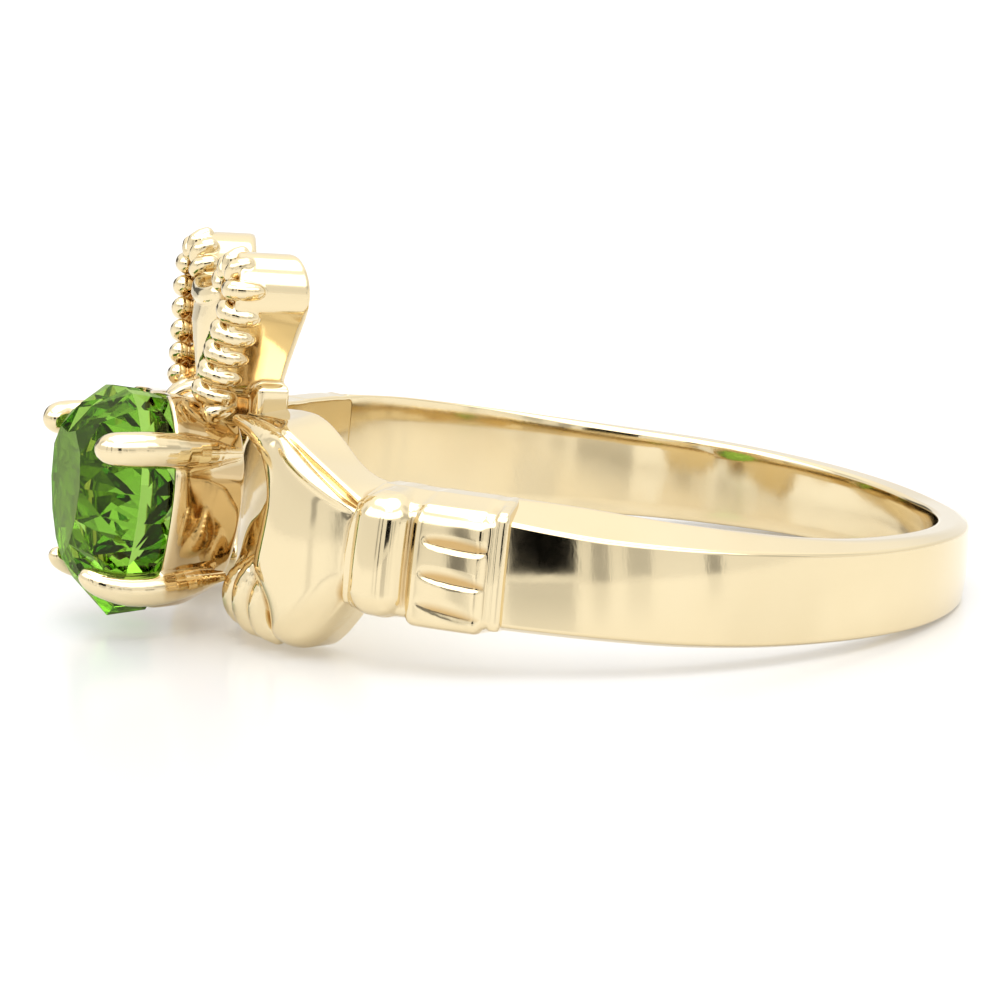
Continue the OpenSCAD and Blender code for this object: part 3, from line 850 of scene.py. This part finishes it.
def make_setting():
    h = 0.042
    f = Field((-3.8, -13.5, -2.95), (3.8, -9.15, 3.25), h)
    m = Map2D(heart(0.02), (-4.6, -4.6), (4.6, 4.6), 0.03)
    so = curve([(0.60, 0.70), (0.75, 0.735), (1.7, 0.90), (2.35, 1.0), (2.62, 1.02)], 0.08)
    si = curve([(0.60, 0.52), (0.75, 0.56), (1.7, 0.74), (2.35, 0.865), (2.62, 0.90)], 0.08)

    def wall(x, y, z):
        o = -y - BORE
        a, b = so(o), si(o)
        x, z = turned(x, z)
        outer = m(x / a, HEART_CY + z / a) * a
        inner = m(x / b, HEART_CY + z / b) * b
        d = smax(outer, -inner, 0.05)
        d = smax(d, o - 2.66, 0.10)
        d = smax(d, -z - HEART_CY - 2.36, 0.10)
        d = smax(d, z + HEART_CY - 2.84, 0.08)
        return smax(d, 0.74 - o, 0.10)
    f.add(wall, None, None, 0.01)
    for rows in PRONGS:
        for sx in (1, -1):
            f.tube([(sx * x * PC - (z - HEART_CY) * PS, -BORE - o, HEART_CY + (z - HEART_CY) * PC + sx * x * PS, r) for x, z, o, r in rows], 0.12, 3)
    # seat of the stone
    st = curve([(1.2, 0.10), (2.10, 0.66), (2.52, 0.945), (3.29, 0.985), (3.45, 0.985), (4.15, 0.84), (4.65, 0.56)])

    def seat(x, y, z):
        o = -y - BORE
        s = st(o)
        x, z = turned(x, z)
        d = m(x / s, HEART_CY + z / s) * s - 0.03
        return np.maximum(np.maximum(d, o - 4.68), 1.22 - o)
    f.cut(seat, None, None, 0.03)
    v, q, n, shade_fac = f.mesh()
    # painted shade and reflection: the basket below the stone is darkened towards the finger, except along the prongs
    o = -v[:, 1] - BORE
    body = 0.66 * np.clip((2.75 - o) / 0.25, 0, 1)
    for rows in PRONGS:
        c = np.array([(p[2], p[0], p[1], p[3]) for p in rows])
        cx, cz, cr = (np.interp(o, c[:, 0], c[:, i]) for i in (1, 2, 3))
        d = np.sqrt((np.abs(v[:, 0]) - cx) ** 2 + (v[:, 2] - cz) ** 2) - cr
        body = body * np.clip(d / 0.10, 0, 1)
    add_piece("setting", v, q, n, np.maximum(shade_fac, body), GOLD)


# ------------------------------------------------------------------ crown

LEAN = 6 * RAD
CROWN = [(0, 5.46), (0.5, 5.52), (0.80, 5.64), (0.98, 5.95), (1.28, 6.32), (1.72, 6.55), (2.16, 6.55), (2.52, 6.30), (2.72, 5.88),
         (2.72, 5.42), (2.61, 5.10), (2.42, 4.72), (2.22, 4.32), (2.03, 3.95), (1.86, 3.6), (1.70, 3.28), (1.46, 3.02), (1.25, 2.7), (0.8, 2.55), (0, 2.55)]
BEADS = [  # x, z on the rim of the front, from the foot to the inside of the lobe
    (1.33, 3.10), (1.55, 3.60), (1.80, 4.12), (2.07, 4.64), (2.31, 5.16), (2.46, 5.72), (2.24, 6.16), (1.80, 6.30), (1.38, 6.14), (1.12, 5.80)]


def crown_front(z):
    return 1.72 - (z - 3.2) * math.tan(LEAN)


def make_crown():
    h = 0.040
    f = Field((-3.05, -11.15, 2.0), (3.05, -8.05, 6.75), h)
    pts = spline(CROWN, 6)
    poly = [(x, z) for x, z in pts] + [(-x, z) for x, z in pts[::-1] if x > 1e-6]
    m = Map2D(poly, (-3.4, 1.8), (3.4, 7.0), 0.03)
    leaf_w = curve([(3.05, 0.0), (3.35, 0.16), (3.8, 0.42), (4.3, 0.70), (4.8, 0.94), (5.2, 1.06), (5.5, 1.02), (5.75, 0.78), (5.9, 0.42), (5.98, 0.0)], 0.05)
    spread = curve([(2.0, 1.04), (7.0, 1.02)], 0.1)
    sl, x, y, z = f.part()
    o = -y - BORE
    # the walls spread towards the finger
    back_part = np.clip((crown_front(z) - 0.15 - o) / 1.75, 0, 1.15)
    sc = 1 + (spread(z) - 1) * back_part
    d2 = m(x / sc, z)
    w = np.maximum(leaf_w(z), 1e-3)
    inleaf = np.maximum(1 - (x / w) ** 2, 0) * (leaf_w(z) > 0.01)
    leaf = np.minimum(0.36, leaf_w(z) * 0.42) * np.sqrt(inleaf)
    # the rim behind the beads is cut back, and so is the field between them
    rim = np.clip((0.34 + m(x, z)) / 0.10, 0, 1)
    sunk = 0.16 * np.clip((-m(x, z) - 0.25) / 0.15, 0, 1) + 0.05 * rim
    front = (o - (crown_front(z) - sunk + leaf)) * math.cos(LEAN)
    body = smax(d2 * 0.97, front, 0.12)
    # the back follows the finger, a hair clear of it
    r = np.sqrt(x * x + y * y)
    back = (BORE + 0.03 + 0.06 * (z - 2) / 5) - r
    body = smax(body, back, 0.16)
    f.F = body.astype(np.float32) + np.zeros(f.n, np.float32)
    # base block that stands on the hands
    def bar(x, y, z):
        o = -y - BORE
        q1 = np.abs(x) - 1.88
        q2 = np.abs(z - 2.92) - 0.30
        q3 = np.abs(o + 0.02) - 0.42
        d = np.sqrt(np.maximum(q1, 0) ** 2 + np.maximum(q2, 0) ** 2 + np.maximum(q3, 0) ** 2) + np.minimum(np.maximum(np.maximum(q1, q2), q3), 0) - 0.18
        return np.maximum(d, (BORE + 0.03) - np.sqrt(x * x + y * y))
    f.add(bar, (-2.3, -10.0, 2.0), (2.3, -8.05, 3.7), 0.12)
    # gadroons: each bead rolls from the front over the rim on to the wall
    b = np.array(BEADS)
    for i, (bx, bz) in enumerate(BEADS):
        t = b[min(i + 1, len(b) - 1)] - b[max(i - 1, 0)]
        t /= np.linalg.norm(t)
        nx, nz = t[1], -t[0]
        y0 = -BORE - crown_front(bz)
        rad = 0.225 if i < 6 else 0.19
        for sx in (1, -1):
            rows = [(sx * (bx - 0.15 * nx), y0 - 0.03, bz - 0.15 * nz, rad * 1.08),
                    (sx * (bx + 0.06 * nx), y0 + 0.00, bz + 0.06 * nz, rad * 1.14),
                    (sx * (bx + 0.22 * nx), y0 + 0.24, bz + 0.22 * nz, rad * 0.98)]
            if i < 6:
                rows.append((sx * (bx + 0.27 * nx), y0 + 0.48, bz + 0.27 * nz, rad * 0.80))
                rows.append((sx * (bx + 0.24 * nx), y0 + 0.60, bz + 0.24 * nz, rad * 0.55))
            else:
                rows.append((sx * (bx + 0.16 * nx), y0 + 0.30, bz + 0.16 * nz, rad * 0.65))
            f.tube(rows, 0.025, 2)
    # solid core under the scrolls
    def core(x, y, z):
        q1 = np.abs(x) - 1.45
        q2 = np.abs(z - 2.72) - 0.32
        q3 = np.abs(-y - BORE - 0.92) - 0.74
        d = np.sqrt(np.maximum(q1, 0) ** 2 + np.maximum(q2, 0) ** 2 + np.maximum(q3, 0) ** 2) - 0.10
        return d
    f.add(core, (-1.8, -10.7, 2.1), (1.8, -8.6, 3.4), 0.06)
    # small scrolls that carry the foot of the crown on to the basket
    for sx in (1, -1):
        f.tube([(sx * 0.98, -10.15, 2.95, 0.20), (sx * 0.74, -10.50, 2.80, 0.20), (sx * 0.45, -10.78, 2.58, 0.18), (sx * 0.25, -10.9, 2.35, 0.15)], 0.03, 3)
        f.tube([(sx * 1.35, -9.75, 2.78, 0.24), (sx * 1.50, -10.05, 2.66, 0.20), (sx * 1.36, -10.34, 2.52, 0.17), (sx * 1.12, -10.50, 2.42, 0.14)], 0.03, 3)
        f.tube([(sx * 0.30, -10.20, 3.05, 0.20), (sx * 0.16, -10.50, 2.98, 0.18), (sx * 0.10, -10.80, 2.78, 0.15)], 0.03, 3)
        f.tube([(sx * 1.02, -10.05, 2.62, 0.20), (sx * 0.95, -10.40, 2.40, 0.19), (sx * 0.72, -10.62, 2.22, 0.16)], 0.03, 3)
    f.F = smax(f.F, (BORE + 0.02) - np.sqrt(x * x + y * y) + np.zeros(f.n, np.float32), 0.04).astype(np.float32)
    v, q, n, shade_fac = f.mesh()
    # painted shade: the foot and the recesses between beads are darkened, and the lower side walls are darkened as a
    # painted reflection of the brown gold beside them
    foot_shade = 0.30 * np.clip((3.25 - v[:, 2]) / 0.3, 0, 1) * np.clip((-v[:, 1] - 9.55) / 0.3, 0, 1)
    wall_shade = (0.25 + 0.5 * np.clip((-v[:, 1] - 9.05) / 0.25, 0, 1)) * np.clip((4.9 - v[:, 2]) / 0.6, 0, 1) * np.clip((np.abs(n[:, 0]) - 0.6) / 0.3, 0, 1) * np.clip((v[:, 1] + 9.95) / 0.3, 0, 1)
    add_piece("crown", v, q, n, np.maximum(shade_fac, np.maximum(foot_shade, wall_shade)), GOLD)


# ------------------------------------------------------------------ stone


def make_stone():
    nh = 6
    outer = even_heart(2 * nh)           # girdle: one point for each half division
    N = len(outer)
    main = outer[0::2]                   # tip, ..., cleft, ...

    def ring(pts, s, out):
        p = np.array(pts)
        q = np.empty((len(p), 3))
        px, pz = p[:, 0] * s, (p[:, 1] - HEART_CY) * s
        q[:, 0] = px * math.cos(TURN) - pz * math.sin(TURN)
        q[:, 1] = -BORE - out
        q[:, 2] = HEART_CY + px * math.sin(TURN) + pz * math.cos(TURN)
        return q
    half = outer[1::2]
    V = []
    def put(a):
        i0 = sum(len(x) for x in V)
        V.append(a)
        return i0
    table = put(ring(main, 0.56, 4.65))
    star = put(ring(half, 0.80, 4.22))
    g_top = put(ring(outer, 0.985, 3.45))
    g_low = put(ring(outer, 0.983, 3.40))
    side = ring(outer, 0.935, 2.50)
    side[1::2] = ring(half, 0.962, 2.86)
    side = put(side)
    pav = put(ring(half, 0.60, 1.98))
    culet = put(ring([(0.0, 0.2)], 1.0, 1.27))
    M = len(main)
    F = [[table + i for i in range(M)]]
    for i in range(M):
        j = (i + 1) % M
        a, b = g_top + 2 * i, g_top + (2 * i + 1)
        c = g_top + (2 * i + 2) % N
        F.append([table + i, star + i, table + j])
        F.append([star + i, a, b])
        F.append([star + i, b, c])
        p = (i - 1) % M
        F.append([table + i, star + p, a, star + i])
        al, bl, cl = g_low + 2 * i, g_low + 2 * i + 1, g_low + (2 * i + 2) % N
        F.append([a, al, bl, b])
        F.append([b, bl, cl, c])
        ad, bd, cd = side + 2 * i, side + 2 * i + 1, side + (2 * i + 2) % N
        F.append([al, ad, bd, bl])
        F.append([cl, bl, bd, cd])
        F.append([pav + i, bd, ad])
        F.append([pav + i, cd, bd])
        F.append([ad, pav + p, culet, pav + i])
    V = np.concatenate(V)
    # triangulate the kites so that every facet is flat
    tri = []
    for f in F:
        if len(f) == 4:
            tri += [[f[0], f[1], f[2]], [f[0], f[2], f[3]]]
        else:
            tri.append(f)
    # normal of the table facet; it is not used, and bmesh turns the facets outward below
    n = np.cross(V[tri[0][1]] - V[tri[0][0]], V[tri[0][3]] - V[tri[0][0]])
    ob = add_piece("stone_heart", V, tri, None, None, GREEN, "stone", smooth=False)
    import bmesh
    bm = bmesh.new()
    bm.from_mesh(ob.data)
    bmesh.ops.recalc_face_normals(bm, faces=bm.faces)
    bm.to_mesh(ob.data)
    bm.free()
    return ob


make_shank()
make_hands()
make_setting()
make_crown()
make_stone()

# ------------------------------------------------------------------ floor, light


def make_floor():
    me = bpy.data.meshes.new("floor")
    s = 0.6
    me.from_pydata([(-s, -s, 0), (s, -s, 0), (s, s, 0), (-s, s, 0)], [], [(0, 1, 2, 3)])
    ob = bpy.data.objects.new("floor", me)
    ob.location.z = -0.00002
    bpy.context.scene.collection.objects.link(ob)
    mat = bpy.data.materials.new("pale_floor")
    mat.use_nodes = True
    b = mat.node_tree.nodes["Principled BSDF"]
    b.inputs["Base Color"].default_value = (0.80, 0.80, 0.80, 1)
    b.inputs["Roughness"].default_value = 0.20
    b.inputs["Specular IOR Level"].default_value = 0.35
    b.inputs["Emission Color"].default_value = (1, 1, 1, 1)
    b.inputs["Emission Strength"].default_value = 0.16
    me.materials.append(mat)


def make_world():
    w = bpy.data.worlds.new("studio")
    bpy.context.scene.world = w
    w.use_nodes = True
    nt = w.node_tree
    nt.nodes.clear()
    out = node(nt, "ShaderNodeOutputWorld", (1400, 0))
    lp = node(nt, "ShaderNodeLightPath", (800, 300))
    tc = node(nt, "ShaderNodeTexCoord", (-1000, 0))
    sep = node(nt, "ShaderNodeSeparateXYZ", (-800, 0))
    nt.links.new(tc.outputs["Generated"], sep.inputs[0])

    def math_(op, a, b=None, clamp=False):
        m = node(nt, "ShaderNodeMath", operation=op, use_clamp=clamp)
        for i, x in enumerate((a, b)):
            if x is None:
                continue
            if isinstance(x, (int, float)):
                m.inputs[i].default_value = x
            else:
                nt.links.new(x, m.inputs[i])
        return m.outputs[0]

    az = math_("MULTIPLY", math_("ARCTAN2", sep.outputs[0], math_("MULTIPLY", sep.outputs[1], -1.0)), 57.29578)  # 0 at the head, +90 at +X
    el = math_("MULTIPLY", math_("ARCSINE", sep.outputs[2]), 57.29578)

    def band(v, lo, hi, soft):
        up = node(nt, "ShaderNodeMapRange", interpolation_type="SMOOTHSTEP")
        nt.links.new(v, up.inputs["Value"])
        up.inputs["From Min"].default_value = lo - soft
        up.inputs["From Max"].default_value = lo + soft
        dn = node(nt, "ShaderNodeMapRange", interpolation_type="SMOOTHSTEP")
        nt.links.new(v, dn.inputs["Value"])
        dn.inputs["From Min"].default_value = hi - soft
        dn.inputs["From Max"].default_value = hi + soft
        dn.inputs["To Min"].default_value = 1.0
        dn.inputs["To Max"].default_value = 0.0
        return math_("MULTIPLY", up.outputs[0], dn.outputs[0])

    # base brightness by height: bright overhead, a softer grey wall low down
    ramp = node(nt, "ShaderNodeValToRGB", (-200, 200))
    ramp.color_ramp.interpolation = "EASE"
    e = ramp.color_ramp.elements
    e[0].position, e[0].color = 0.0, (1.0, 1.0, 1.0, 1)
    e[1].position, e[1].color = 1.0, (1.25, 1.25, 1.25, 1)
    for pos, c in ((0.50, 0.95), (0.56, 0.90), (0.66, 1.05), (0.80, 1.2)):
        x = e.new(pos)
        x.color = (c, c, c, 1)
    t = math_("ADD", math_("DIVIDE", el, 180.0), 0.5)
    nt.links.new(t, ramp.inputs[0])
    level = ramp.outputs[0]
    dark = [  # azimuth from, to, elevation from, to, softness, depth
        (57, 76, 2.2, 19, 0.4, 1.0),
        (80, 85, -8, 12, 0.8, 0.50),
        (90, 97, 1, 12, 1.0, 0.35),
        (113, 117, -4, 6, 0.8, 0.60),
        (36, 41, -6, 26, 0.8, 0.75),
        (-90, -60, -14, 16, 3.0, 0.86),
        (22, 27, 2, 30, 1.2, 0.50),
        (118, 150, 12, 32, 4.0, 0.35),
        (160, 200, 25, 50, 8.0, 0.25),
        (-40, -20, 20, 40, 5.0, 0.30),
    ]
    shade = None
    for a0, a1, e0, e1, soft, depth in dark:
        m = math_("MULTIPLY", band(az, a0, a1, soft), band(el, e0, e1, soft))
        k = math_("SUBTRACT", 1.0, math_("MULTIPLY", m, depth))
        shade = k if shade is None else math_("MULTIPLY", shade, k)
    # two long soft boxes that only polished metal picks up
    glow = None
    for a0, a1, e0, e1, soft, gain in ((-20, 135, 23, 50, 1.5, 1.3), (-180, 180, 61, 84, 1.5, 1.3)):
        wide = band(el, e0, e1, soft)
        m = wide if a1 - a0 > 350 else math_("MULTIPLY", band(az, a0, a1, 3.0), wide)
        k = math_("MULTIPLY", m, gain)
        glow = k if glow is None else math_("ADD", glow, k)
    glow = math_("MULTIPLY", glow, math_("MULTIPLY", lp.outputs["Is Glossy Ray"], math_("LESS_THAN", lp.outputs["Ray Depth"], 2.5)))
    shade = math_("MULTIPLY", shade, math_("ADD", glow, 1.0))
    mixc = node(nt, "ShaderNodeMix", (600, 0), data_type="RGBA", blend_type="MULTIPLY")
    mixc.inputs[0].default_value = 1.0
    nt.links.new(level, mixc.inputs[6])
    comb = node(nt, "ShaderNodeCombineColor", (400, -200))
    for i in range(3):
        nt.links.new(shade, comb.inputs[i])
    nt.links.new(comb.outputs[0], mixc.inputs[7])
    bg1 = node(nt, "ShaderNodeBackground", (900, -100))
    bg1.inputs["Strength"].default_value = 1.08
    nt.links.new(mixc.outputs[2], bg1.inputs[0])
    bg2 = node(nt, "ShaderNodeBackground", (900, 100))
    bg2.inputs["Color"].default_value = (1, 1, 1, 1)
    bg2.inputs["Strength"].default_value = 1.0
    ms = node(nt, "ShaderNodeMixShader", (1150, 0))
    nt.links.new(lp.outputs["Is Camera Ray"], ms.inputs[0])
    nt.links.new(bg1.outputs[0], ms.inputs[1])
    nt.links.new(bg2.outputs[0], ms.inputs[2])
    nt.links.new(ms.outputs[0], out.inputs[0])


def soft_light(name, loc, target, size, power):
    li = bpy.data.lights.new(name, "AREA")
    li.shape = "RECTANGLE"
    li.size, li.size_y = size
    li.energy = power
    ob = bpy.data.objects.new(name, li)
    d = np.array(target, float) - np.array(loc, float)
    from mathutils import Vector
    ob.rotation_euler = Vector(d).to_track_quat("-Z", "Y").to_euler()
    ob.location = loc
    bpy.context.scene.collection.objects.link(ob)
    return ob


make_floor()
make_world()
soft_light("softbox_top", (0.06, -0.04, 0.22), (0, 0, 0), (0.10, 0.16), 0.10)
sc = bpy.context.scene
sc.view_settings.view_transform = "Standard"
sc.view_settings.look = "None"
sc.view_settings.exposure = 0.0
sc.view_settings.gamma = 1.0
